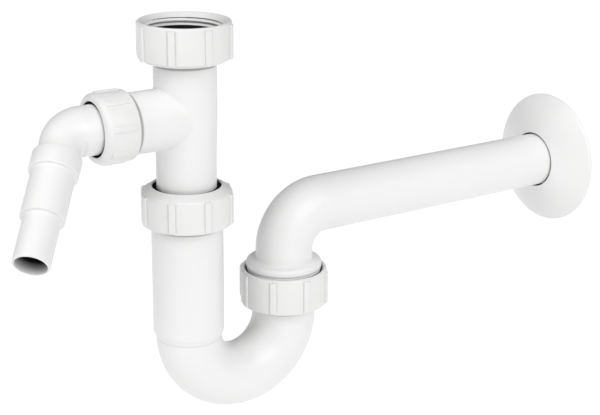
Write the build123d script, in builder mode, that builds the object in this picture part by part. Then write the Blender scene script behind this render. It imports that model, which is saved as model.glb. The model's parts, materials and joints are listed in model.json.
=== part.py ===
# Basin trap with an appliance spigot and a wall flange. All sizes in millimetres.
# Origin: centre of the inlet thread where it starts below its lead-in. +Z up, outlet pipe along +X.
import os
from math import cos, radians, sin

from build123d import *

os.makedirs("parts", exist_ok=True)

# Pipes
pipe_r = 16.0
pipe_wall = 1.8
tee_draft = 0.6
slide_play = 0.35
turn_play = 0.1

# Union nuts of the inlet, the slip joint and the outlet
thread_step = 4.9
thread_play = 0.3
nut_wall = 3.5
nut_h = 20.8
nut_lead = 2.0
nut_mouth_wall = 1.7
nut_edge = 0.8
nut_foot_in = 3.0
nut_foot_h = 1.7
rib_count = 8
rib_w = 3.7
rib_h = 1.1
rib_edge = 0.5
rib_top_gap = 1.4
rib_foot_gap = 2.0
slip_rib_turn = -3.0
outlet_rib_turn = -2.0
branch_rib_turn = 10.0

# Inlet joint, from the thread down
inlet_thread_len = 4.8
relief_depth = 0.5
inlet_washer_h = 3.0
tee_flange_play = 1.5
tee_flange_h = 4.0
tee_flange_cone = 2.4

# Inlet tee
branch_drop = 48.4
branch_turn = 180.0
tail_len = 158.0
draft_len = 22.0
tail_edge = 1.0
branch_fillet = 1.0

# Branch joint, distances from the tee axis along the branch
branch_inset = 0.5
branch_wall = 2.5
branch_thread_step = 0.5
branch_thread_gap = 1.0
branch_nut_start = 35.2
branch_nut_len = 18.8
branch_nut_wall = 1.5
branch_nut_lip = 3.0
branch_nut_face = 1.5
branch_nut_edge_h = 3.4
branch_gap = 2.0
branch_rib_w = 3.2
branch_rib_h = 0.9
branch_rib_gap = 4.6
branch_seal_len = 4.0

# Hose elbow
elbow_play = 0.7
elbow_wall = 2.0
elbow_in = 14.0
elbow_show = 7.8
elbow_throat = 1.1
elbow_neck_in = 2.2
elbow_angle = 58.6
elbow_turn = 44.3
collar_start = 6.2
collar_len = 11.1
collar_step = 1.5
mid_len = 26.1
mid_step = 1.75
end_r = 9.25
end_len = 25.6
end_wall = 1.25
step_edge = 0.5

# Slip joint
slip_top = -86.0
slip_gap = 2.5
slip_shoulder_h = 3.1
slip_lip = 3.2
slip_seal_flat = 3.0
slip_seal_cone = 3.0
slip_seal_play = 0.6
slip_seal_tip = 0.9
seal_neck_drop = 0.9
seal_neck_play = 0.15

# Trap bend
tail_room = 10.0
socket_gap = 0.9
socket_base = 3.1
wide_wall = 2.4
wide_cone_h = 4.5
cone_sink = 0.3
leg_pitch = 62.1
bend_step = 1.9
bend_wall = 2.4
bend_drop = 0.4

# Outlet joint
leg_show = 5.7
outlet_lip = 3.0
outlet_flange_play = 0.6
outlet_flange_h = 3.8
outlet_washer_h = 3.0

# Outlet bend
outlet_collar_in = 0.2
outlet_collar_sink = 1.1
outlet_collar_h = 2.9
outlet_shoulder_h = 6.8
outlet_neck = 2.0
outlet_throat = 7.0
outlet_len = 190.9

# Wall flange
flange_r = 40.0
wall_in = 14.8
flange_dome = 12.2
dome_bow = 0.36
flange_wall = 1.8
flange_rim = 1.6
flange_gap = 0.6
flange_sleeve = 7.0

# Radii worked out from the sizes above
pipe_bore_r = pipe_r - pipe_wall
tee_r = pipe_r + tee_draft
thread_r = pipe_r + thread_step
male_r = thread_r - thread_play
nut_r = thread_r + nut_wall
nut_mouth_r = nut_r - nut_mouth_wall
nut_foot_r = nut_r - nut_foot_in
nut_hole_r = tee_r + slide_play
relief_r = thread_r + relief_depth
tee_flange_r = thread_r - tee_flange_play
branch_r = tee_r - branch_inset
branch_bore_r = branch_r - branch_wall
branch_thread_r = branch_r + branch_thread_step
branch_nut_bore_r = branch_thread_r + thread_play
branch_nut_r = branch_nut_bore_r + branch_nut_wall
elbow_r = branch_bore_r - elbow_play
elbow_neck_r = elbow_r - elbow_neck_in
elbow_bend_r = elbow_r + elbow_throat
branch_hole_r = elbow_r + branch_gap
branch_nut_edge_r = branch_hole_r + branch_nut_face
branch_neck_r = branch_hole_r - seal_neck_play
mid_r = end_r + mid_step
collar_r = mid_r + collar_step
slip_hole_r = pipe_r + slip_gap
slip_seal_r = thread_r - slip_seal_play
slip_seal_tip_r = pipe_r + turn_play + slip_seal_tip
slip_neck_r = slip_hole_r - seal_neck_play
socket_bore_r = pipe_r + socket_gap
wide_r = socket_bore_r + wide_wall
bend_r = pipe_r + bend_step
bend_bore_r = bend_r - bend_wall
centre_r = leg_pitch / 2
leg_hole_r = bend_r + slide_play
outlet_flange_r = thread_r - outlet_flange_play
outlet_collar_r = male_r - outlet_collar_in
outlet_bend_r = pipe_r + outlet_throat

# Heights worked out from the sizes above
nut_top = nut_lead
nut_bottom = nut_lead - nut_h
washer_top = -inlet_thread_len - turn_play
tee_top = washer_top - inlet_washer_h
tee_flange_bottom = tee_top - tee_flange_h
slip_bottom = slip_top - nut_h
slip_neck_top = slip_top - seal_neck_drop
slip_seal_top = slip_top - slip_lip - turn_play
socket_top = slip_seal_top - slip_seal_flat
socket_floor = -tail_len - tail_room
wide_bottom = socket_floor - socket_base
bend_top = wide_bottom - bend_drop
outlet_nut_bottom = bend_top + leg_show
outlet_nut_top = outlet_nut_bottom + nut_h
outlet_seat = outlet_nut_bottom + outlet_lip
leg_flange_bottom = outlet_seat + turn_play
leg_flange_top = leg_flange_bottom + outlet_flange_h
outlet_bottom = leg_flange_top + outlet_washer_h
outlet_collar_bottom = outlet_nut_top - outlet_collar_sink
outlet_collar_top = outlet_collar_bottom + outlet_collar_h
outlet_shoulder_top = outlet_collar_top + outlet_shoulder_h
outlet_bend_z = outlet_shoulder_top + outlet_neck
outlet_z = outlet_bend_z + outlet_bend_r

# Places along the branch, the spigot and the outlet pipe
branch_nut_end = branch_nut_start + branch_nut_len
branch_seal_end = branch_nut_end - branch_nut_lip - turn_play
branch_neck_end = branch_nut_end - seal_neck_drop
branch_end = branch_seal_end - branch_seal_len
branch_thread_start = branch_nut_start + branch_thread_gap
elbow_start = branch_end - elbow_in
elbow_bend_start = branch_nut_end + elbow_show
collar_end = collar_start + collar_len
mid_end = collar_end + mid_len
spigot_end = mid_end + end_len
outlet_pipe_x = leg_pitch + outlet_bend_r
outlet_end = outlet_pipe_x + outlet_len
flange_face = outlet_end - wall_in

# Directions of the branch and of the spigot
branch_dir = Vector(cos(radians(branch_turn)), sin(radians(branch_turn)), 0)
branch_side = Vector(-branch_dir.Y, branch_dir.X, 0)
branch_origin = Vector(0, 0, -branch_drop)
branch_axis = Axis(branch_origin, branch_dir)
branch_plane = Plane(origin=branch_origin, x_dir=branch_dir, z_dir=branch_side * -1)
swing = Vector(0, 0, -1) * cos(radians(elbow_turn)) + branch_side * sin(radians(elbow_turn))
elbow_side = branch_dir.cross(swing)
elbow_plane = Plane(origin=branch_origin, x_dir=branch_dir, z_dir=elbow_side)
spigot_x = elbow_bend_start + elbow_bend_r * sin(radians(elbow_angle))
spigot_y = elbow_bend_r * (1 - cos(radians(elbow_angle)))
spigot_dir = branch_dir * cos(radians(elbow_angle)) + swing * sin(radians(elbow_angle))
spigot_origin = branch_origin + branch_dir * spigot_x + swing * spigot_y
spigot_plane = Plane(origin=spigot_origin, x_dir=spigot_dir, z_dir=elbow_side)
spigot_axis = Axis(spigot_origin, spigot_dir)
bend_origin = branch_origin + branch_dir * elbow_bend_start
bend_entry = Plane(bend_origin, x_dir=elbow_side, z_dir=branch_dir)
bend_exit = Plane(spigot_origin, x_dir=elbow_side, z_dir=spigot_dir)

# Inlet nut: lead-in, thread wall, room for washer and flange, cone seat, foot
seat_z = tee_flange_bottom - turn_play
cone_z = seat_z - tee_flange_cone
with BuildPart() as inlet_nut:
    with BuildSketch(Plane.XZ):
        with BuildLine():
            Polyline(
                (nut_mouth_r, nut_top),
                (nut_r - nut_edge, nut_top),
                (nut_r, nut_top - nut_edge),
                (nut_r, nut_bottom + nut_foot_h),
                (nut_foot_r, nut_bottom),
                (nut_hole_r, nut_bottom),
                (nut_hole_r, cone_z),
                (tee_flange_r + turn_play, seat_z),
                (relief_r, seat_z),
                (relief_r, -inlet_thread_len),
                (thread_r, -inlet_thread_len),
                (thread_r, 0),
                close=True,
            )
        make_face()
    revolve(axis=Axis.Z)
    with BuildSketch(Plane.XY.offset(nut_bottom + rib_foot_gap)):
        with PolarLocations(nut_r, rib_count):
            RectangleRounded(2 * rib_h, rib_w, rib_edge)
    extrude(amount=nut_h - rib_foot_gap - rib_top_gap)
inlet_nut.part.label = "inlet_nut"

# Inlet washer on the tee flange
with BuildPart() as inlet_washer:
    with BuildSketch(Plane.XY.offset(tee_top)):
        Circle(thread_r - turn_play)
        Circle(pipe_bore_r, mode=Mode.SUBTRACT)
    extrude(amount=inlet_washer_h)
inlet_washer.part.label = "inlet_washer"

# Inlet tee: flanged body, tail and branch, then both bores
with BuildPart() as inlet_tee:
    with BuildSketch(Plane.XZ):
        with BuildLine():
            Polyline(
                (0, tee_top),
                (tee_flange_r, tee_top),
                (tee_flange_r, tee_flange_bottom),
                (tee_r, tee_flange_bottom - tee_flange_cone),
                (tee_r, -branch_drop),
                (pipe_r, -branch_drop - draft_len),
                (pipe_r, -tail_len + tail_edge),
                (pipe_r - tail_edge / 2, -tail_len),
                (0, -tail_len),
                close=True,
            )
        make_face()
    revolve(axis=Axis.Z)
    with BuildSketch(branch_plane):
        with BuildLine():
            Polyline(
                (0, 0),
                (0, branch_r),
                (branch_thread_start, branch_r),
                (branch_thread_start, branch_thread_r),
                (branch_end, branch_thread_r),
                (branch_end, 0),
                close=True,
            )
        make_face()
    revolve(axis=branch_axis)
    fillet(inlet_tee.edges().filter_by(GeomType.BSPLINE), radius=branch_fillet)
    with BuildSketch(branch_plane):
        with BuildLine():
            Polyline(
                (0, 0),
                (0, branch_bore_r),
                (branch_end, branch_bore_r),
                (branch_end, 0),
                close=True,
            )
        make_face()
    revolve(axis=branch_axis, mode=Mode.SUBTRACT)
    with BuildSketch(Plane.XY.offset(-tail_len)):
        Circle(pipe_bore_r)
    extrude(amount=tail_len + tee_top, mode=Mode.SUBTRACT)
inlet_tee.part.label = "inlet_tee"

# Branch nut: open towards the tee, rounded end and lip with a wide hole round the elbow
with BuildPart() as branch_nut:
    with BuildSketch(branch_plane):
        with BuildLine():
            Polyline(
                (branch_nut_end - branch_nut_edge_h, branch_nut_r),
                (branch_nut_start + nut_edge, branch_nut_r),
                (branch_nut_start, branch_nut_r - nut_edge),
                (branch_nut_start, branch_nut_bore_r),
                (branch_nut_end - branch_nut_lip, branch_nut_bore_r),
                (branch_nut_end - branch_nut_lip, branch_hole_r),
                (branch_nut_end, branch_hole_r),
                (branch_nut_end, branch_nut_edge_r),
            )
            TangentArc(
                (branch_nut_end - branch_nut_edge_h, branch_nut_r),
                (branch_nut_end, branch_nut_edge_r),
                tangent=(1, 0),
            )
        make_face()
    revolve(axis=branch_axis)
    rib_start = branch_nut_start + branch_rib_gap
    with BuildSketch(Plane(branch_origin + branch_dir * rib_start, x_dir=(0, 0, 1), z_dir=branch_dir)):
        with PolarLocations(branch_nut_r, rib_count, start_angle=branch_rib_turn):
            RectangleRounded(2 * branch_rib_h, branch_rib_w, rib_edge)
    extrude(amount=branch_nut_len - branch_rib_gap - branch_nut_edge_h)
branch_nut.part.label = "branch_nut"

# Branch seal round the elbow tube, with a neck that fills the hole of the nut
with BuildPart() as branch_seal:
    with BuildSketch(branch_plane):
        with BuildLine():
            Polyline(
                (branch_end, elbow_r),
                (branch_end, branch_thread_r),
                (branch_seal_end, branch_thread_r),
                (branch_seal_end, branch_neck_r),
                (branch_neck_end, branch_neck_r),
                (branch_neck_end, elbow_r),
                close=True,
            )
        make_face()
    revolve(axis=branch_axis)
branch_seal.part.label = "branch_seal"

# Hose elbow: plug tube, narrowing bend, then the collar and two steps of the spigot, and the bore
elbow_bore_r = elbow_r - elbow_wall
neck_bore_r = elbow_neck_r - elbow_wall
end_bore_r = end_r - end_wall
with BuildPart() as hose_elbow:
    with BuildSketch(branch_plane):
        with BuildLine():
            Polyline(
                (elbow_start, 0),
                (elbow_start, elbow_r),
                (elbow_bend_start, elbow_r),
                (elbow_bend_start, 0),
                close=True,
            )
        make_face()
    revolve(axis=branch_axis)
    with BuildLine(elbow_plane) as elbow_path:
        CenterArc((elbow_bend_start, elbow_bend_r), elbow_bend_r, -90, elbow_angle)
    with BuildSketch(bend_entry):
        Circle(elbow_r)
    with BuildSketch(bend_exit):
        Circle(elbow_neck_r)
    sweep(path=elbow_path.wires()[0], multisection=True)
    with BuildSketch(spigot_plane):
        with BuildLine():
            Polyline(
                (0, 0),
                (0, elbow_neck_r),
                (collar_start, elbow_neck_r),
                (collar_start, collar_r - step_edge),
                (collar_start + step_edge, collar_r),
                (collar_end - step_edge, collar_r),
                (collar_end, collar_r - step_edge),
                (collar_end, mid_r),
                (mid_end - step_edge, mid_r),
                (mid_end, mid_r - step_edge),
                (mid_end, end_r),
                (spigot_end - step_edge, end_r),
                (spigot_end, end_r - step_edge),
                (spigot_end, 0),
                close=True,
            )
        make_face()
    revolve(axis=spigot_axis)
    with BuildSketch(branch_plane):
        with BuildLine():
            Polyline(
                (elbow_start, 0),
                (elbow_start, elbow_bore_r),
                (elbow_bend_start, elbow_bore_r),
                (elbow_bend_start, 0),
                close=True,
            )
        make_face()
    revolve(axis=branch_axis, mode=Mode.SUBTRACT)
    with BuildSketch(bend_entry):
        Circle(elbow_bore_r)
    with BuildSketch(bend_exit):
        Circle(neck_bore_r)
    sweep(path=elbow_path.wires()[0], multisection=True, mode=Mode.SUBTRACT)
    with BuildSketch(spigot_plane):
        with BuildLine():
            Polyline(
                (0, 0),
                (0, neck_bore_r),
                (collar_end, end_bore_r),
                (spigot_end, end_bore_r),
                (spigot_end, 0),
                close=True,
            )
        make_face()
    revolve(axis=spigot_axis, mode=Mode.SUBTRACT)
hose_elbow.part.label = "hose_elbow"

# Slip nut: open at the bottom, shouldered lip at the top
with BuildPart() as slip_nut:
    with BuildSketch(Plane.XZ):
        with BuildLine():
            Polyline(
                (slip_hole_r, slip_top),
                (slip_hole_r + nut_edge, slip_top),
                (nut_r, slip_top - slip_shoulder_h),
                (nut_r, slip_bottom + nut_edge),
                (nut_r - nut_edge, slip_bottom),
                (thread_r + nut_edge, slip_bottom),
                (thread_r, slip_bottom + nut_edge),
                (thread_r, slip_top - slip_lip),
                (slip_hole_r, slip_top - slip_lip),
                close=True,
            )
        make_face()
    revolve(axis=Axis.Z)
    with BuildSketch(Plane.XY.offset(slip_bottom + rib_foot_gap)):
        with PolarLocations(nut_r, rib_count, start_angle=slip_rib_turn):
            RectangleRounded(2 * rib_h, rib_w, rib_edge)
    extrude(amount=nut_h - rib_foot_gap - slip_shoulder_h)
slip_nut.part.label = "slip_nut"

# Slip seal: flat ring with a neck in the hole of the nut and a cone in the mouth of the socket
seal_in = pipe_r + turn_play
with BuildPart() as slip_seal:
    with BuildSketch(Plane.XZ):
        with BuildLine():
            Polyline(
                (seal_in, slip_neck_top),
                (slip_neck_r, slip_neck_top),
                (slip_neck_r, slip_seal_top),
                (slip_seal_r, slip_seal_top),
                (slip_seal_r, socket_top + turn_play),
                (slip_seal_tip_r + slip_seal_cone / 2, socket_top + turn_play),
                (slip_seal_tip_r, socket_top - slip_seal_cone),
                (seal_in, socket_top - slip_seal_cone),
                close=True,
            )
        make_face()
    revolve(axis=Axis.Z)
slip_seal.part.label = "slip_seal"

# Trap bend: socket, half turn and outlet leg with a flange, then the waterway
mouth_r = slip_seal_tip_r + turn_play
socket_neck = slip_bottom + nut_edge
with BuildPart() as trap_bend:
    with BuildSketch(Plane.XZ):
        with BuildLine():
            Polyline(
                (0, socket_top),
                (male_r, socket_top),
                (male_r, socket_neck),
                (wide_r, socket_neck),
                (wide_r, wide_bottom),
                (bend_r - cone_sink, wide_bottom - wide_cone_h),
                (0, wide_bottom - wide_cone_h),
                close=True,
            )
        make_face()
    revolve(axis=Axis.Z)
    with BuildSketch(Plane.XY.offset(bend_top)):
        Circle(bend_r)
    revolve(axis=Axis((centre_r, 0, bend_top), (0, -1, 0)), revolution_arc=180)
    with BuildSketch(Plane.XY.offset(bend_top)):
        with Locations((leg_pitch, 0)):
            Circle(bend_r)
    extrude(amount=leg_flange_top - bend_top)
    with BuildSketch(Plane.XY.offset(leg_flange_bottom)):
        with Locations((leg_pitch, 0)):
            Circle(outlet_flange_r)
    extrude(amount=outlet_flange_h)
    with BuildSketch(Plane.XZ):
        with BuildLine():
            Polyline(
                (0, socket_top),
                (mouth_r + slip_seal_cone / 2, socket_top),
                (mouth_r, socket_top - slip_seal_cone),
                (socket_bore_r, socket_top - slip_seal_cone - turn_play),
                (socket_bore_r, socket_floor),
                (bend_bore_r, socket_floor),
                (bend_bore_r, bend_top),
                (0, bend_top),
                close=True,
            )
        make_face()
    revolve(axis=Axis.Z, mode=Mode.SUBTRACT)
    with BuildSketch(Plane.XY.offset(bend_top)):
        Circle(bend_bore_r)
    revolve(axis=Axis((centre_r, 0, bend_top), (0, -1, 0)), revolution_arc=180, mode=Mode.SUBTRACT)
    with BuildSketch(Plane.XY.offset(bend_top)):
        with Locations((leg_pitch, 0)):
            Circle(bend_bore_r)
    extrude(amount=leg_flange_top - bend_top, mode=Mode.SUBTRACT)
trap_bend.part.label = "trap_bend"

# Outlet nut: open at the top, lip under the flange of the trap bend
outlet_axis = Axis((leg_pitch, 0, 0), (0, 0, 1))
with BuildPart() as outlet_nut:
    with BuildSketch(Plane.XZ):
        with BuildLine():
            Polyline(
                (leg_pitch + nut_mouth_r, outlet_nut_top),
                (leg_pitch + nut_r - nut_edge, outlet_nut_top),
                (leg_pitch + nut_r, outlet_nut_top - nut_edge),
                (leg_pitch + nut_r, outlet_nut_bottom + nut_edge),
                (leg_pitch + nut_r - nut_edge, outlet_nut_bottom),
                (leg_pitch + leg_hole_r, outlet_nut_bottom),
                (leg_pitch + leg_hole_r, outlet_seat),
                (leg_pitch + thread_r, outlet_seat),
                (leg_pitch + thread_r, outlet_nut_top - nut_lead),
                close=True,
            )
        make_face()
    revolve(axis=outlet_axis)
    with BuildSketch(Plane.XY.offset(outlet_nut_bottom + rib_foot_gap)):
        with Locations((leg_pitch, 0)):
            with PolarLocations(nut_r, rib_count, start_angle=outlet_rib_turn):
                RectangleRounded(2 * rib_h, rib_w, rib_edge)
    extrude(amount=nut_h - rib_foot_gap - rib_top_gap)
outlet_nut.part.label = "outlet_nut"

# Outlet washer between the two flanges
with BuildPart() as outlet_washer:
    with BuildSketch(Plane.XY.offset(leg_flange_top)):
        with Locations((leg_pitch, 0)):
            Circle(outlet_flange_r)
            Circle(bend_bore_r, mode=Mode.SUBTRACT)
    extrude(amount=outlet_washer_h)
outlet_washer.part.label = "outlet_washer"

# Outlet bend: pipe swept round the quarter bend, threaded collar at its foot, then the bore
with BuildPart() as outlet_bend:
    with BuildLine(Plane.XZ) as outlet_path:
        FilletPolyline(
            (leg_pitch, outlet_bottom),
            (leg_pitch, outlet_z),
            (outlet_end, outlet_z),
            radius=outlet_bend_r,
        )
    with BuildSketch(Plane.XY.offset(outlet_bottom)):
        with Locations((leg_pitch, 0)):
            Circle(pipe_r)
    sweep(path=outlet_path.wires()[0])
    with BuildSketch(Plane.XZ):
        with BuildLine():
            Polyline(
                (leg_pitch, outlet_bottom),
                (leg_pitch + male_r, outlet_bottom),
                (leg_pitch + male_r, outlet_collar_bottom),
                (leg_pitch + outlet_collar_r, outlet_collar_bottom),
                (leg_pitch + outlet_collar_r, outlet_collar_top),
                (leg_pitch + pipe_r, outlet_shoulder_top),
                (leg_pitch, outlet_shoulder_top),
                close=True,
            )
        make_face()
    revolve(axis=outlet_axis)
    with BuildSketch(Plane.XY.offset(outlet_bottom)):
        with Locations((leg_pitch, 0)):
            Circle(pipe_bore_r)
    sweep(path=outlet_path.wires()[0], mode=Mode.SUBTRACT)
outlet_bend.part.label = "outlet_bend"

# Wall flange: domed shell with a rim edge and a short sleeve round the pipe
flange_hole_r = pipe_r + flange_gap
dome_x = flange_face - flange_dome
sleeve_x = dome_x + flange_sleeve
mid_dome_r = (flange_hole_r + flange_r) / 2
mid_dome_x = dome_x + dome_bow * flange_dome
dome_chord = Vector(flange_face - flange_rim - dome_x, flange_r - flange_hole_r)
dome_in = dome_chord.normalized().rotate(Axis.Z, -90)
flange_axis = Axis((0, 0, outlet_z), (1, 0, 0))
with BuildPart() as wall_flange:
    with BuildSketch(Plane.XZ):
        with BuildLine():
            ThreePointArc(
                (dome_x, outlet_z + flange_hole_r),
                (mid_dome_x, outlet_z + mid_dome_r),
                (flange_face - flange_rim, outlet_z + flange_r),
            )
            Polyline(
                (flange_face - flange_rim, outlet_z + flange_r),
                (flange_face, outlet_z + flange_r),
                (flange_face, outlet_z + flange_r - flange_wall),
            )
            ThreePointArc(
                (flange_face, outlet_z + flange_r - flange_wall),
                (mid_dome_x + flange_wall * dome_in.X, outlet_z + mid_dome_r + flange_wall * dome_in.Y),
                (dome_x + flange_wall, outlet_z + flange_hole_r + flange_wall),
            )
            Polyline(
                (dome_x + flange_wall, outlet_z + flange_hole_r + flange_wall),
                (sleeve_x, outlet_z + flange_hole_r + flange_wall),
                (sleeve_x, outlet_z + flange_hole_r),
                (dome_x, outlet_z + flange_hole_r),
            )
        make_face()
    revolve(axis=flange_axis)
wall_flange.part.label = "wall_flange"

export_step(inlet_nut.part, "parts/inlet_nut.step")
export_step(inlet_washer.part, "parts/inlet_washer.step")
export_step(inlet_tee.part, "parts/inlet_tee.step")
export_step(branch_nut.part, "parts/branch_nut.step")
export_step(branch_seal.part, "parts/branch_seal.step")
export_step(hose_elbow.part, "parts/hose_elbow.step")
export_step(slip_nut.part, "parts/slip_nut.step")
export_step(slip_seal.part, "parts/slip_seal.step")
export_step(trap_bend.part, "parts/trap_bend.step")
export_step(outlet_nut.part, "parts/outlet_nut.step")
export_step(outlet_washer.part, "parts/outlet_washer.step")
export_step(outlet_bend.part, "parts/outlet_bend.step")
export_step(wall_flange.part, "parts/wall_flange.step")
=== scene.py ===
# Basin trap in white plastic: moulded nuts, bends, hose elbow and wall flange, finishes, light and camera.
import json
from math import cos, hypot, pi, radians, sin

import bmesh
import bpy
from mathutils import Matrix, Vector


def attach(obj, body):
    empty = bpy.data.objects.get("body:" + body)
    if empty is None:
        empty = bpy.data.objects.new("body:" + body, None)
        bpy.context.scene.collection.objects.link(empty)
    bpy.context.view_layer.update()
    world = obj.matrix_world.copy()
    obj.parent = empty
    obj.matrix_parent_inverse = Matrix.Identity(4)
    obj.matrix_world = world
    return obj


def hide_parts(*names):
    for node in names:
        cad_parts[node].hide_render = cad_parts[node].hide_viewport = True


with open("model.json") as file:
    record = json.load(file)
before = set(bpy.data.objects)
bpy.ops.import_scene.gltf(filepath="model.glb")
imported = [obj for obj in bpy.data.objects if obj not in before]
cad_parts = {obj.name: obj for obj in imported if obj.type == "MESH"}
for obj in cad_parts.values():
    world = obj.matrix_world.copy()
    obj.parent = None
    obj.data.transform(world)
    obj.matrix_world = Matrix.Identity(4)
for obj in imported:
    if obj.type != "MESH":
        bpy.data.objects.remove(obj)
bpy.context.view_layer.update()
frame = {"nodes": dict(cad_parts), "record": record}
mm = 0.001

# Sizes in millimetres, heights and places from the centre of the inlet thread
thread_r = 20.9
thread_crest_r = 19.48
thread_pitch = 2.309
thread_base = 1.92
thread_crest = 0.4
nut_r = 24.4
nut_h = 20.8
nut_lead = 2.0
nut_mouth_r = 22.7
thread_foot = -4.8
inlet_bottom = nut_lead - nut_h
slip_top = -86.0
slip_bottom = slip_top - nut_h
outlet_nut_top = -145.0
outlet_nut_bottom = outlet_nut_top - nut_h
branch_z = -48.4
branch_nut_start = 35.2
branch_nut_end = 54.0
leg_pitch = 62.1
crease_z = -172.4
pipe_r = 16.0
pipe_bore_r = 14.2
pipe_edge = 0.4
pipe_end = 276.0
outlet_z = -111.4
flange_top = 249.0
elbow_angle = 58.6
elbow_bend_r = 14.0
elbow_plug_r = 12.9
elbow_plug_len = 28.9
swing = (-0.69842, -0.71569)
spigot_origin = (-73.7497, -4.6835, -53.1993)
rib_count = 8
rib_w = 3.7
rib_rise = 1.1
rib_edge = 0.5
groove_w = 0.55
groove_depth = 0.3
groove_short = 0.6
seam_shadow_fade = 0.7

# Fineness of the meshes: steps round a turn, and the smallest lengths that count, in millimetres
turned_steps = 160
bend_steps = 40
elbow_steps = 24
touch = 0.01
seam_gap = 0.001
sliver = 0.003

# Greys of the painted seam shadows and crease shade, and of the plastic of the pipes
seam_shadow_grey = 0.40
pipe_dark, pipe_light = (0.80, 0.80, 0.796), (0.84, 0.84, 0.837)


# Modelling steps


def pick(piece, wanted):
    """Selects the points of the piece being edited whose place in millimetres is wanted."""
    mesh = bmesh.from_edit_mesh(piece.data)
    for point in mesh.verts:
        point.select_set(wanted(point.co / mm))
    mesh.select_flush_mode()
    bmesh.update_edit_mesh(piece.data)


def at_corner(place, corner):
    """True where a point lies on a corner of an outline drawn in the XZ plane."""
    return abs(place.x - corner[0]) < touch and abs(place.z - corner[1]) < touch


def draw_outline(name, corners, closed=True):
    """Draws an outline of (radius, height, rounding) corners in the XZ plane and rounds its corners."""
    bpy.ops.object.select_all(action="DESELECT")
    bpy.ops.mesh.primitive_plane_add(size=mm, location=(corners[0][0] * mm, 0, corners[0][1] * mm))
    piece = bpy.context.object
    piece.name = name
    bpy.ops.object.transform_apply(location=True)
    bpy.ops.object.mode_set(mode="EDIT")
    bpy.ops.mesh.select_mode(type="VERT")
    bpy.ops.mesh.merge(type="CENTER")
    for here, there in zip(corners, corners[1:]):
        step = ((there[0] - here[0]) * mm, 0, (there[1] - here[1]) * mm)
        bpy.ops.mesh.extrude_region_move(TRANSFORM_OT_translate={"value": step})
    if closed:
        pick(piece, lambda place: at_corner(place, corners[0]) or at_corner(place, corners[-1]))
        bpy.ops.mesh.edge_face_add()
    for rounding in sorted({corner[2] for corner in corners if corner[2]}):
        rounded = [corner for corner in corners if corner[2] == rounding]
        pick(piece, lambda place: any(at_corner(place, corner) for corner in rounded))
        bpy.ops.mesh.bevel(offset=rounding * mm, segments=4, affect="VERTICES")
    return piece


def close_skin():
    """Merges the seam of the piece being edited and turns its faces outwards."""
    bpy.ops.mesh.select_all(action="SELECT")
    bpy.ops.mesh.remove_doubles(threshold=seam_gap * mm)
    bpy.ops.mesh.normals_make_consistent(inside=False)
    bpy.ops.object.mode_set(mode="OBJECT")


def bowed(start, end, bow, count=16):
    """Corners of a gently bowed line in an outline, whose middle stands off by the bow along the axis."""
    shares = [number / count for number in range(1, count)]
    across, along = end[0] - start[0], end[1] - start[1]
    return [(start[0] + across * s, start[1] + along * s + 4 * bow * s * (1 - s), 0) for s in shares]


def turned(name, corners):
    """A closed outline turned round the Z axis."""
    piece = draw_outline(name, corners)
    bpy.ops.mesh.select_all(action="SELECT")
    bpy.ops.mesh.spin(steps=turned_steps, angle=2 * pi, center=(0, 0, 0), axis=(0, 0, 1))
    close_skin()
    return piece


def turned_open(name, corners):
    """An open outline turned round the Z axis, left in edit mode with its two end rings open."""
    piece = draw_outline(name, corners, closed=False)
    bpy.ops.mesh.select_all(action="SELECT")
    bpy.ops.mesh.spin(steps=turned_steps, angle=2 * pi, center=(0, 0, 0), axis=(0, 0, 1))
    bpy.ops.mesh.select_all(action="SELECT")
    bpy.ops.mesh.remove_doubles(threshold=seam_gap * mm)
    return piece


def pull_rings(step):
    """Extrudes the chosen outer and inner rings together by a step in millimetres."""
    bpy.ops.mesh.extrude_region_move(TRANSFORM_OT_translate={"value": [part * mm for part in step]})


def close_end(piece, on_outer_ring, share, middle):
    """Closes a hollow end: its outer ring is extruded and drawn in by a share, onto the inner ring."""
    pick(piece, on_outer_ring)
    pull_rings((0, 0, 0))
    bpy.ops.transform.resize(value=(share, share, share), center_override=Vector(middle) * mm)
    close_skin()


def melt(body, other, operation):
    """Unites a closed piece with the body into one skin, or cuts it off the body, and clears slivers."""
    step = body.modifiers.new("melt", "BOOLEAN")
    step.operation = operation
    step.solver = "EXACT"
    step.object = other
    bpy.context.view_layer.objects.active = body
    bpy.ops.object.modifier_apply(modifier=step.name)
    bpy.data.objects.remove(other)
    bpy.ops.object.mode_set(mode="EDIT")
    bpy.ops.mesh.select_all(action="SELECT")
    bpy.ops.mesh.dissolve_degenerate(threshold=sliver * mm)
    bpy.ops.object.mode_set(mode="OBJECT")


def set_in_place(piece, origin, axis, x_axis):
    """Moves a piece modelled round the Z axis to its own axis, with its place kept in its mesh."""
    across = Vector(axis).cross(Vector(x_axis))
    place = Matrix((x_axis, across, axis)).transposed().to_4x4()
    place.translation = Vector(origin) * mm
    bpy.ops.object.select_all(action="DESELECT")
    piece.select_set(True)
    bpy.context.view_layer.objects.active = piece
    piece.matrix_world = place
    bpy.ops.object.transform_apply(location=True, rotation=True, scale=True)


def finish_piece(piece, finish, body, node):
    """Shades the piece, gives it its finish and puts it in the place of its CAD node."""
    bpy.ops.object.select_all(action="DESELECT")
    piece.select_set(True)
    bpy.context.view_layer.objects.active = piece
    bpy.ops.object.shade_smooth_by_angle(angle=radians(32))
    piece.data.materials.clear()
    piece.data.materials.append(finish)
    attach(piece, body)
    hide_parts(node)


# Finishes


def new_finish(name):
    """An empty plastic or rubber finish with its shader and the object's own coordinates."""
    finish = bpy.data.materials.new(name)
    finish.use_nodes = True
    nodes = finish.node_tree.nodes
    place = nodes.new("ShaderNodeTexCoord")
    return finish, nodes, finish.node_tree.links, nodes["Principled BSDF"], place.outputs["Object"]


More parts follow.
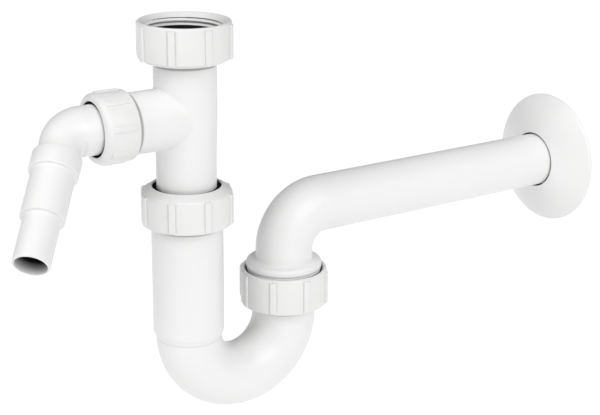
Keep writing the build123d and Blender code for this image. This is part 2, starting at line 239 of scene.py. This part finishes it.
def cloud(nodes, links, place, size, detail):
    """Soft random mottling whose spots are about the given size across, in millimetres."""
    noise = nodes.new("ShaderNodeTexNoise")
    noise.inputs["Scale"].default_value = 1 / (size * mm)
    noise.inputs["Detail"].default_value = detail
    links.new(place, noise.inputs["Vector"])
    return noise.outputs["Fac"]


def spread(nodes, links, value, low, high):
    """Maps the middle of a mottling onto a range."""
    ramp = nodes.new("ShaderNodeMapRange")
    ramp.inputs["From Min"].default_value = 0.3
    ramp.inputs["From Max"].default_value = 0.7
    ramp.inputs["To Min"].default_value = low
    ramp.inputs["To Max"].default_value = high
    links.new(value, ramp.inputs["Value"])
    return ramp.outputs["Result"]


def tint(nodes, links, value, dark, light):
    """Mixes two near colours by a mottling."""
    mix = nodes.new("ShaderNodeMix")
    mix.data_type = "RGBA"
    mix.inputs["A"].default_value = (*dark, 1)
    mix.inputs["B"].default_value = (*light, 1)
    links.new(value, mix.inputs["Factor"])
    return mix.outputs["Result"]


def grain(nodes, links, shader, value, height):
    """Raises the surface a little by a mottling, the height in millimetres."""
    bump = nodes.new("ShaderNodeBump")
    bump.inputs["Strength"].default_value = 1
    bump.inputs["Distance"].default_value = height * mm
    links.new(value, bump.inputs["Height"])
    links.new(bump.outputs["Normal"], shader.inputs["Normal"])


def moulded_plastic(name, dark, light, gloss, dull, grain_size, grain_height):
    """White moulded plastic: faint flow clouds in the colour, uneven gloss and a fine eroded grain."""
    finish, nodes, links, shader, place = new_finish(name)
    flow = cloud(nodes, links, place, size=24, detail=3)
    speck = cloud(nodes, links, place, size=grain_size, detail=2)
    links.new(tint(nodes, links, flow, dark, light), shader.inputs["Base Color"])
    links.new(spread(nodes, links, speck, gloss, dull), shader.inputs["Roughness"])
    grain(nodes, links, shader, speck, grain_height)
    shader.inputs["IOR"].default_value = 1.49
    return finish


def sealing_rubber(name):
    """Matt black rubber with fine pores and a faint bloom."""
    finish, nodes, links, shader, place = new_finish(name)
    bloom = cloud(nodes, links, place, size=3, detail=4)
    pores = cloud(nodes, links, place, size=0.4, detail=2)
    black = tint(nodes, links, bloom, (0.002, 0.002, 0.002), (0.006, 0.006, 0.006))
    links.new(black, shader.inputs["Base Color"])
    links.new(spread(nodes, links, pores, low=0.7, high=0.9), shader.inputs["Roughness"])
    grain(nodes, links, shader, pores, height=0.02)
    shader.inputs["Specular IOR Level"].default_value = 0.06
    return finish


def depth_along(nodes, links, place, start, way):
    """Sockets of how far a place lies along a way from its start, and of the vector from the start."""
    reach = nodes.new("ShaderNodeVectorMath")
    reach.operation = "SUBTRACT"
    reach.inputs[1].default_value = Vector(start) * mm
    links.new(place, reach.inputs[0])
    depth = nodes.new("ShaderNodeVectorMath")
    depth.operation = "DOT_PRODUCT"
    depth.inputs[1].default_value = way
    links.new(reach.outputs["Vector"], depth.inputs[0])
    return depth.outputs["Value"], reach.outputs["Vector"]


def bore_painted_shade(name, mouth, inward, reach):
    """Painted shade: white plastic of a bore whose colour goes dark with its depth, as little light gets
    in, in millimetres.
    """
    finish, nodes, links, shader, place = new_finish(name)
    depth = depth_along(nodes, links, place, mouth, inward)[0]
    gloom = nodes.new("ShaderNodeMapRange")
    gloom.inputs["From Max"].default_value = reach * mm
    links.new(depth, gloom.inputs["Value"])
    shade = tint(nodes, links, gloom.outputs["Result"], (0.82, 0.82, 0.82), (0.004, 0.004, 0.004))
    links.new(shade, shader.inputs["Base Color"])
    speck = cloud(nodes, links, place, size=0.9, detail=2)
    links.new(spread(nodes, links, speck, low=0.45, high=0.6), shader.inputs["Roughness"])
    return finish


def shade_along(finish, start, way, radius, depths, shares, grey):
    """Greys a finish within a radius of an axis, by a share that changes between two depths along it."""
    nodes, links = finish.node_tree.nodes, finish.node_tree.links
    shader = nodes["Principled BSDF"]
    colour = shader.inputs["Base Color"].links[0].from_socket
    place = nodes.new("ShaderNodeTexCoord").outputs["Object"]
    signed, reach = depth_along(nodes, links, place, start, way)
    depth = nodes.new("ShaderNodeMath")
    depth.operation = "ABSOLUTE"
    links.new(signed, depth.inputs[0])
    along = nodes.new("ShaderNodeVectorMath")
    along.operation = "PROJECT"
    along.inputs[1].default_value = way
    links.new(reach, along.inputs[0])
    aside = nodes.new("ShaderNodeVectorMath")
    aside.operation = "DISTANCE"
    links.new(reach, aside.inputs[0])
    links.new(along.outputs["Vector"], aside.inputs[1])
    near = nodes.new("ShaderNodeMath")
    near.operation = "LESS_THAN"
    near.inputs[1].default_value = radius * mm
    links.new(aside.outputs["Value"], near.inputs[0])
    share = nodes.new("ShaderNodeMapRange")
    share.inputs["From Min"].default_value = depths[0] * mm
    share.inputs["From Max"].default_value = depths[1] * mm
    share.inputs["To Min"].default_value = shares[0]
    share.inputs["To Max"].default_value = shares[1]
    links.new(depth.outputs["Value"], share.inputs["Value"])
    amount = nodes.new("ShaderNodeMath")
    amount.operation = "MULTIPLY"
    links.new(near.outputs["Value"], amount.inputs[0])
    links.new(share.outputs["Result"], amount.inputs[1])
    greyed = nodes.new("ShaderNodeMix")
    greyed.data_type = "RGBA"
    greyed.inputs["B"].default_value = (grey, grey, grey, 1)
    links.new(colour, greyed.inputs["A"])
    links.new(amount.outputs["Value"], greyed.inputs["Factor"])
    links.new(greyed.outputs["Result"], shader.inputs["Base Color"])


def seam_shadow_line(finish, rim, outward, radius, width):
    """A thin line of painted shadow on a tube beside the rim of a nut, where the nut shades the tube."""
    shade_along(finish, rim, outward, radius, (width - seam_shadow_fade, width), (1, 0), seam_shadow_grey)


def pipe_plastic(name):
    """The plastic of the pipes and bends."""
    return moulded_plastic(
        name,
        pipe_dark,
        pipe_light,
        gloss=0.30,
        dull=0.42,
        grain_size=0.9,
        grain_height=0.02,
    )


down = (0, 0, -1)
# Painted shade: finishes painted darker with depth into the outlet pipe's bore, the flange's hole and the
# union nut's mouth
outlet_bore_shade = bore_painted_shade("outlet_bore_shade", (pipe_end, 0, 0), (-1, 0, 0), reach=14)
flange_gap_shade = bore_painted_shade("flange_gap_shade", (flange_top, 0, 0), (1, 0, 0), reach=0.8)
union_gap_shade = bore_painted_shade("union_gap_shade", (0, 0, outlet_nut_top), down, reach=1.5)
pipe_white = pipe_plastic("pipe_white")
tee_white = pipe_plastic("tee_white")
# Painted shade: the tee's bore is painted near black below the inlet, where little light gets in
shade_along(tee_white, (0, 0, 0), down, radius=15, depths=(6, 14), shares=(0, 1), grey=0.01)
# Painted shadow lines on the tee below the inlet nut's foot and beside the branch nut's rim
seam_shadow_line(tee_white, (0, 0, inlet_bottom), down, radius=17.5, width=2.6)
seam_shadow_line(tee_white, (-branch_nut_start, 0, branch_z), (1, 0, 0), radius=17.5, width=2.5)
trap_white = pipe_plastic("trap_white")
# Painted shadow lines on the trap below the slip nut and the outlet nut
seam_shadow_line(trap_white, (0, 0, slip_bottom), down, radius=24, width=2.5)
seam_shadow_line(trap_white, (leg_pitch, 0, outlet_nut_bottom), down, radius=20, width=3.0)
# Painted shade: a thin grey line in the crease where the cone meets the bend
shade_along(
    trap_white,
    (0, 0, crease_z),
    down,
    radius=24,
    depths=(0.2, 0.6),
    shares=(0.22, 0),
    grey=seam_shadow_grey,
)
# Painted shade: dark grey for the roots of the inlet thread, where the ridges shade them
thread_root_shade = moulded_plastic(
    "thread_root_shade",
    (0.16, 0.16, 0.16),
    (0.22, 0.22, 0.22),
    gloss=0.45,
    dull=0.6,
    grain_size=0.7,
    grain_height=0.02,
)
nut_white = moulded_plastic(
    "nut_white",
    (0.765, 0.765, 0.76),
    (0.805, 0.805, 0.80),
    gloss=0.27,
    dull=0.38,
    grain_size=0.7,
    grain_height=0.02,
)
seal_black = sealing_rubber("seal_black")

slot_finish = {"white_plastic": pipe_white, "nut_plastic": nut_white, "seal_rubber": seal_black}
node_finish = {"inlet_tee": tee_white, "trap_bend": trap_white}
for subpart in frame["record"]["subparts"]:
    node = frame["nodes"][subpart["node"]]
    node.data.materials.clear()
    finish = node_finish.get(subpart["node"], slot_finish[subpart["material_slot"]])
    node.data.materials.append(finish)


# Nuts


def paint_inside(piece, finish, inside):
    """Gives a second finish to the faces whose middle, in millimetres, is inside a bore or a groove."""
    piece.data.materials.append(finish)
    for face in piece.data.polygons:
        if inside(face.center / mm):
            face.material_index = 1


def grip_ribs(radius, low, high, width, rise, first):
    """Grip ribs round a nut, the first at an angle in degrees: one block is rounded and copied round."""
    bpy.ops.object.select_all(action="DESELECT")
    bpy.ops.mesh.primitive_cube_add(
        size=mm,
        location=(radius * mm, 0, (low + high) / 2 * mm),
        scale=(2 * rise, width, high - low),
    )
    ribs = bpy.context.object
    bpy.ops.object.transform_apply(location=True, scale=True)
    bpy.ops.object.mode_set(mode="EDIT")
    pick(ribs, lambda place: place.x > radius)
    bpy.ops.mesh.bevel(offset=min(rib_edge, rise) * mm, segments=3, affect="EDGES")
    bpy.ops.mesh.select_all(action="SELECT")
    turn = 2 * pi / rib_count
    bpy.ops.mesh.spin(
        steps=rib_count - 1,
        angle=turn * (rib_count - 1),
        center=(0, 0, 0),
        axis=(0, 0, 1),
        dupli=True,
    )
    close_skin()
    ribs.rotation_euler.z = radians(first)
    bpy.ops.object.transform_apply(rotation=True)
    return ribs


def add_ribs(nut, low, high, first):
    """Unites the grip ribs with a large nut, each between two shallow grooves that set it off."""
    grooved_w = rib_w + 2 * groove_w
    grooves = grip_ribs(nut_r, low + groove_short, high - groove_short, grooved_w, groove_depth, first)
    melt(nut, grooves, "DIFFERENCE")
    melt(nut, grip_ribs(nut_r, low, high, rib_w, rib_rise, first), "UNION")


def thread_ridge(low, turns, first):
    """Ridge of an inside pipe thread: its section is drawn once, screwed upwards and turned in degrees."""
    sunk_r, root_r = thread_r + 1.1, thread_r + 0.1
    flank = (thread_base - thread_crest) / 2 * (root_r - thread_crest_r) / (thread_r - thread_crest_r)
    foot = thread_crest / 2 + flank
    ridge = draw_outline(
        "thread_ridge",
        [
            (sunk_r, low - foot, 0),
            (root_r, low - foot, 0),
            (thread_crest_r, low - thread_crest / 2, 0.15),
            (thread_crest_r, low + thread_crest / 2, 0.15),
            (root_r, low + foot, 0),
            (sunk_r, low + foot, 0),
        ],
    )
    bpy.ops.object.mode_set(mode="OBJECT")
    screw = ridge.modifiers.new("screw", "SCREW")
    screw.axis = "Z"
    screw.angle = 2 * pi * turns
    screw.screw_offset = thread_pitch * turns * mm
    screw.steps = int(turned_steps * turns)
    screw.render_steps = screw.steps
    bpy.ops.object.modifier_apply(modifier=screw.name)
    bpy.ops.object.mode_set(mode="EDIT")
    bpy.ops.mesh.select_all(action="SELECT")
    bpy.ops.mesh.fill_holes(sides=0)
    close_skin()
    ridge.rotation_euler.z = radians(first)
    bpy.ops.object.transform_apply(rotation=True)
    return ridge


def inlet_thread():
    """Thread ridge of the inlet, cut flat above the washer's room and by the lead-in cone at the mouth."""
    ridge = thread_ridge(low=-5.35, turns=2.85, first=-97)
    inside_r, outside_r = 18, 23
    room_top, room_foot = thread_foot + 0.02, -8
    room = turned(
        "washer_room",
        [
            (inside_r, room_top, 0),
            (outside_r, room_top, 0),
            (outside_r, room_foot, 0),
            (inside_r, room_foot, 0),
        ],
    )
    lead_in = turned("lead_in", [(19.3, -1.85, 0), (23.3, 2.6, 0), (19.3, 2.6, 0)])
    melt(ridge, room, "DIFFERENCE")
    melt(ridge, lead_in, "DIFFERENCE")
    return ridge


def inlet_nut():
    """Top nut: rounded rim, lead-in, two turns of thread, washer room, cone seat and chamfered foot."""
    top, bottom = nut_lead, inlet_bottom
    room_r, hole_r, seat_z = 21.4, 16.95, -12.0
    nut = turned(
        "inlet_nut_moulded",
        [
            (nut_mouth_r, top, 0.4),
            (nut_r, top, 1.0),
            (nut_r, bottom + 1.7, 0.7),
            (21.4, bottom, 0.5),
            (hole_r, bottom, 0.3),
            (hole_r, seat_z - 2.4, 0),
            (19.5, seat_z, 0),
            (room_r, seat_z, 0),
            (room_r, thread_foot, 0),
            (thread_r, thread_foot, 0),
            (thread_r, 0, 0.4),
        ],
    )
    add_ribs(nut, bottom + 1.6, top - 1.2, first=0)
    melt(nut, inlet_thread(), "UNION")
    finish_piece(nut, nut_white, "inlet_nut", "inlet_nut")

    def in_root(place):
        return thread_foot + 0.1 < place.z < -0.6 and abs(hypot(place.x, place.y) - thread_r) < 0.3

    # Painted shade in the roots of the thread
    paint_inside(nut, thread_root_shade, in_root)


def slip_nut():
    """Nut of the slip joint: sloping top with a wide hole round the tail."""
    top, bottom = slip_top, slip_bottom
    hole_r, lip = 18.5, 3.2
    nut = turned(
        "slip_nut_moulded",
        [
            (hole_r, top, 0.35),
            (19.3, top, 0.4),
            (nut_r, top - 3.1, 1.4),
            (nut_r, bottom, 0.9),
            (21.7, bottom, 0.2),
            (thread_r, bottom + 0.8, 0),
            (thread_r, top - lip, 0),
            (hole_r, top - lip, 0),
        ],
    )
    add_ribs(nut, bottom + 1.0, top - 3.3, first=-3)
    finish_piece(nut, nut_white, "slip_nut", "slip_nut")


def outlet_nut():
    """Nut of the outlet union: open mouth upwards, lip under the leg's flange."""
    top, bottom = outlet_nut_top, outlet_nut_bottom
    hole_r, lip = 18.25, 3.0
    nut = turned(
        "outlet_nut_moulded",
        [
            (nut_mouth_r, top, 0.4),
            (nut_r, top, 1.0),
            (nut_r, bottom, 1.0),
            (hole_r, bottom, 0.4),
            (hole_r, bottom + lip, 0),
            (thread_r, bottom + lip, 0),
            (thread_r, top - nut_lead, 0.4),
        ],
    )
    add_ribs(nut, bottom + 1.0, top - 1.2, first=-2)
    set_in_place(nut, (leg_pitch, 0, 0), (0, 0, 1), (1, 0, 0))
    finish_piece(nut, nut_white, "outlet_nut", "outlet_nut")

    def in_union(place):
        return hypot(place.x - leg_pitch, place.y) < nut_mouth_r - 0.3 and place.z > bottom + lip + 0.5

    # Painted shade inside the union nut's mouth
    paint_inside(nut, union_gap_shade, in_union)


def branch_nut():
    """Nut of the branch: open towards the tee, rounded end with a lipped hole round the elbow."""
    start, end = branch_nut_start, branch_nut_end
    outer_r, bore_r, hole_r, lip = 18.4, 16.9, 14.9, 3.0
    edge_r, edge_h = 14.4, 0.8
    nut = turned(
        "branch_nut_moulded",
        [
            (bore_r, start, 0.2),
            (outer_r, start, 0.9),
            (outer_r, end, 3.0),
            (edge_r, end, 0.4),
            (edge_r, end - edge_h, 0),
            (hole_r, end - edge_h, 0),
            (hole_r, end - lip, 0),
            (bore_r, end - lip, 0),
        ],
    )
    ribs = grip_ribs(outer_r, start + 2.5, end - 3.4, width=3.2, rise=0.55, first=10)
    melt(nut, ribs, "UNION")
    set_in_place(nut, (0, 0, branch_z), (-1, 0, 0), (0, 0, 1))
    finish_piece(nut, nut_white, "branch_nut", "branch_nut")


inlet_nut()
slip_nut()
outlet_nut()
branch_nut()


# Wall flange, outlet bend, trap bend and hose elbow


def wall_flange():
    """Domed cover: thin bowed shell with a rounded rim and a short sleeve with a lip round the pipe."""
    hole_r, rim_r, wall = 16.95, 40.0, 1.8
    lip_r, lip_h = 16.2, 3.0
    top, sleeve_end, face = flange_top, 256.0, 261.2
    rim = face - 1.6
    flange = turned(
        "wall_flange_moulded",
        [
            (hole_r, top, 0.35),
            *bowed((hole_r, top), (rim_r, rim), -0.908),
            (rim_r, rim, 0.8),
            (rim_r, face, 0.4),
            (rim_r - wall, face, 0.2),
            *bowed((rim_r - wall, face), (hole_r + wall, top + wall), -0.58),
            (hole_r + wall, top + wall, 0),
            (hole_r + wall, sleeve_end, 0.3),
            (lip_r, sleeve_end, 0.2),
            (hole_r, sleeve_end - lip_h, 0),
        ],
    )
    set_in_place(flange, (0, 0, outlet_z), (1, 0, 0), (0, 0, 1))
    finish_piece(flange, pipe_white, "wall_flange", "wall_flange")

    def in_hole(place):
        return place.x > top and hypot(place.y, place.z - outlet_z) < hole_r + 0.02

    # Painted shade inside the flange's hole round the pipe
    paint_inside(flange, flange_gap_shade, in_hole)


def outlet_bend():
    """Outlet moulding: threaded end, rounded collar and shoulder, quarter bend and long hollow pipe."""
    bend_r, bend_z, run = 23.0, -134.4, 190.49
    bead_r, groove_r, ring_r, thread_end_r = 21.2, 20.3, 20.9, 20.6
    ring_top, ring_foot, bottom = -145.2, -146.1, -155.9
    bend = turned_open(
        "outlet_bend_moulded",
        [
            (pipe_r, bend_z, 0),
            (pipe_r, -139.4, 1.0),
            (19.8, -140.3, 0.6),
            (bead_r, -140.7, 0.9),
            (bead_r, -144.4, 0.5),
            (groove_r, -144.6, 0),
            (groove_r, ring_top, 0),
            (ring_r, ring_top, 0.2),
            (ring_r, ring_foot, 0.2),
            (thread_end_r, ring_foot, 0),
            (thread_end_r, bottom, 0.3),
            (pipe_bore_r, bottom, 0.3),
            (pipe_bore_r, bend_z, 0),
        ],
    )
    pick(bend, lambda place: place.z > bend_z - touch)
    bpy.ops.mesh.spin(
        steps=bend_steps,
        angle=-pi / 2,
        center=(bend_r * mm, 0, bend_z * mm),
        axis=(0, 1, 0),
    )
    pick(bend, lambda place: place.x > bend_r - touch)
    pull_rings((run, 0, 0))
    pick(bend, lambda place: place.x > bend_r + run - touch)
    pull_rings((pipe_edge, 0, 0))
    end_x = bend_r + run + pipe_edge
    edge_r, bore_edge_r = pipe_r - pipe_edge, pipe_bore_r + pipe_edge

    def on_end_ring(place, radius):
        return place.x > end_x - touch and abs(hypot(place.y, place.z - outlet_z) - radius) < 0.05

    for old_r, new_r in ((pipe_r, edge_r), (pipe_bore_r, bore_edge_r)):
        pick(bend, lambda place: on_end_ring(place, old_r))
        share = new_r / old_r
        bpy.ops.transform.resize(value=(1, share, share), center_override=(end_x * mm, 0, outlet_z * mm))
    close_end(bend, lambda place: on_end_ring(place, edge_r), bore_edge_r / edge_r, (end_x, 0, outlet_z))
    set_in_place(bend, (leg_pitch, 0, 0), (0, 0, 1), (1, 0, 0))
    finish_piece(bend, pipe_white, "outlet", "outlet_bend")
    bore_start = 120

    def in_pipe(place):
        return place.x > bore_start and hypot(place.y, place.z - outlet_z) < pipe_bore_r + 0.8

    # Painted shade down the outlet pipe's bore
    paint_inside(bend, outlet_bore_shade, in_pipe)


def trap_bend():
    """Trap: outlet leg with its flange and half turn, united with the wide socket and its cone foot."""
    bend_r, bore_r, bend_z, inner_step = 17.83, 15.5, -171.5, 1.5
    leg_flange_r, leg_flange_foot, leg_flange_top = 20.3, -162.7, -158.9
    trap = turned_open(
        "trap_bend_moulded",
        [
            (bend_r, bend_z, 0),
            (bend_r, leg_flange_foot, 0),
            (leg_flange_r, leg_flange_foot, 0.2),
            (leg_flange_r, leg_flange_top, 0.2),
            (bore_r, leg_flange_top, 0.3),
            (bore_r, bend_z, 0),
        ],
    )
    pick(trap, lambda place: place.z < bend_z + touch)
    bpy.ops.mesh.spin(
        steps=2 * bend_steps,
        angle=-pi,
        center=(-leg_pitch / 2 * mm, 0, bend_z * mm),
        axis=(0, 1, 0),
    )
    pick(trap, lambda place: place.x < -leg_pitch / 2 and place.z > bend_z - touch)
    pull_rings((0, 0, inner_step))
    inner_z = bend_z + inner_step
    close_end(
        trap,
        lambda place: place.z > inner_z - touch and abs(hypot(place.x + leg_pitch, place.y) - bend_r) < 0.1,
        bore_r / bend_r,
        (-leg_pitch, 0, inner_z),
    )
    set_in_place(trap, (leg_pitch, 0, 0), (0, 0, 1), (1, 0, 0))
    wide_r, male_r, socket_r, mouth_r = 19.3, 20.6, 16.9, 18.6
    socket_top, socket_neck, socket_floor = -92.3, -106.0, -168.0
    cone_top, cone_foot = -168.7, -173.46
    socket = turned(
        "socket",
        [
            (socket_r, socket_floor, 0.3),
            (socket_r, socket_top - 3.1, 0),
            (socket_r + 0.2, socket_top - 3.0, 0),
            (mouth_r, socket_top, 0.2),
            (male_r, socket_top, 0.3),
            (male_r, socket_neck, 0),
            (wide_r, socket_neck, 0),
            (wide_r, cone_top + 2.0, 0),
            (wide_r, cone_top, 0.6),
            (bend_r - 0.4, cone_foot, 0),
            (bend_r - 1.4, cone_foot, 0),
            (bore_r - 0.1, bend_z + 0.5, 0),
            (bore_r - 0.1, socket_floor, 0),
        ],
    )
    melt(trap, socket, "UNION")
    finish_piece(trap, trap_white, "trap", "trap_bend")


def hose_elbow():
    """Hose spigot: collar and two soft steps, hollow, bent back and widened to the plug in the branch."""
    neck_r, neck_bore_r, bore_r = 10.7, 8.7, 8.0
    collar_r, step_r, tip_r = 12.5, 11.0, 9.25
    collar_top, collar_foot, step_foot, end = -6.2, -17.3, -43.4, -69.0
    elbow = turned_open(
        "hose_elbow_moulded",
        [
            (neck_r, 0, 0),
            (neck_r, collar_top, 0.5),
            (collar_r, collar_top, 0.9),
            (collar_r, collar_foot, 0.9),
            (step_r, collar_foot, 0.3),
            (step_r, step_foot, 0.6),
            (tip_r, step_foot, 0.3),
            (tip_r, end, 0.9),
            (bore_r, end, 0.3),
            (bore_r, collar_foot, 0),
            (neck_bore_r, 0, 0),
        ],
    )
    pick(elbow, lambda place: place.z > -touch)
    bent = radians(elbow_angle)
    turn = bent / elbow_steps
    growth = (elbow_plug_r / neck_r) ** (1 / elbow_steps)
    middle = Vector((elbow_bend_r * mm, 0, 0))
    for number in range(1, elbow_steps + 1):
        pull_rings((0, 0, 0))
        bpy.ops.transform.rotate(value=-turn, orient_axis="Y", center_override=middle)
        swung = Vector((1 - cos(turn * number), 0, sin(turn * number))) * elbow_bend_r * mm
        bpy.ops.transform.resize(value=(growth, growth, growth), center_override=swung)
    back = Vector((sin(bent), 0, cos(bent)))
    pull_rings(back * elbow_plug_len)
    plug_end = swung / mm + back * elbow_plug_len

    def on_plug_ring(place):
        reach = place - plug_end
        return abs(reach.dot(back)) < touch and reach.length > elbow_plug_r - 0.1

    close_end(elbow, on_plug_ring, neck_bore_r / neck_r, plug_end)
    spigot = Vector((-cos(bent), *(sin(bent) * part for part in swing)))
    inner = Vector((sin(bent), *(cos(bent) * part for part in swing)))
    set_in_place(elbow, spigot_origin, -spigot, inner)
    finish_piece(elbow, pipe_white, "elbow", "hose_elbow")
    mouth = Vector(spigot_origin) - spigot * end

    def in_bore(place):
        depth = (mouth - place).dot(spigot)
        return -0.5 < depth < -end - 1 and (place - mouth + spigot * depth).length < neck_bore_r + 0.05

    # Painted shade down the spigot's bore
    paint_inside(elbow, bore_painted_shade("spigot_bore_shade", mouth, -spigot, reach=7), in_bore)


wall_flange()
outlet_bend()
trap_bend()
hose_elbow()


# Camera, from the photograph's viewing angle


def studio_camera(turn, height, roll, distance, target, focal_px, image_w):
    """Camera that looks at the target from a turn about +Z and a height above the horizon, in degrees."""
    turn, height, roll = radians(turn), radians(height), radians(roll)
    back = Vector((sin(turn) * cos(height), -cos(turn) * cos(height), sin(height)))
    level = Vector((cos(turn), sin(turn), 0))
    right = level * cos(roll) + back.cross(level) * sin(roll)
    up = back.cross(right)
    data = bpy.data.cameras.new("photo_view")
    data.sensor_fit = "HORIZONTAL"
    data.sensor_width = 36
    data.lens = focal_px * data.sensor_width / image_w
    data.clip_start = 0.01
    data.clip_end = 60
    camera = bpy.data.objects.new("photo_view", data)
    bpy.context.scene.collection.objects.link(camera)
    place = Matrix((right, up, back)).transposed().to_4x4()
    place.translation = (Vector(target) + back * distance) * mm
    camera.matrix_world = place
    bpy.context.scene.camera = camera


studio_camera(
    turn=-34.22,
    height=18.49,
    roll=0.63,
    distance=800.48,
    target=(72.82, 0, -112.07),
    focal_px=1420.95,
    image_w=600,
)


# Floor and light


def soft_lamp(name, turn, height, spread_angle, strength):
    """A broad distant lamp that shines from a turn about +Z and a height above the horizon, in degrees."""
    data = bpy.data.lights.new(name, "SUN")
    data.energy = strength * pi
    data.angle = radians(spread_angle)
    lamp = bpy.data.objects.new(name, data)
    bpy.context.scene.collection.objects.link(lamp)
    turn, height = radians(turn), radians(height)
    towards = Vector((sin(turn) * cos(height), -cos(turn) * cos(height), sin(height)))
    lamp.rotation_euler = towards.to_track_quat("Z", "Y").to_euler()
    lamp.location = towards


def pale_floor(level, width):
    """Plain pale floor, a faintly glowing light table that shows no shadow."""
    bpy.ops.object.select_all(action="DESELECT")
    bpy.ops.mesh.primitive_plane_add(size=width, location=(0, 0, level))
    floor = bpy.context.object
    floor.name = "floor"
    finish, nodes, links, shader, place = new_finish("floor_white")
    paper = cloud(nodes, links, place, size=400, detail=2)
    white = tint(nodes, links, paper, (0.98, 0.98, 0.98), (0.99, 0.99, 0.99))
    links.new(white, shader.inputs["Base Color"])
    shader.inputs["Roughness"].default_value = 0.9
    shader.inputs["Emission Color"].default_value = (1, 1, 1, 1)
    shader.inputs["Emission Strength"].default_value = 0.2
    floor.data.materials.append(finish)


def studio_fill(strength):
    """Even white light from all round."""
    world = bpy.data.worlds.new("studio")
    world.use_nodes = True
    world.node_tree.nodes["Background"].inputs["Color"].default_value = (1, 1, 1, 1)
    world.node_tree.nodes["Background"].inputs["Strength"].default_value = strength
    bpy.context.scene.world = world


bpy.context.scene.view_settings.view_transform = "Standard"
studio_fill(strength=0.17)
pale_floor(level=-0.9, width=24)
soft_lamp("key", turn=-3, height=33, spread_angle=45, strength=0.44)
soft_lamp("left_fill", turn=-89, height=35, spread_angle=45, strength=0.26)
soft_lamp("top_fill", turn=-70, height=66, spread_angle=60, strength=0.32)
soft_lamp("right_fill", turn=50, height=15, spread_angle=45, strength=0.09)
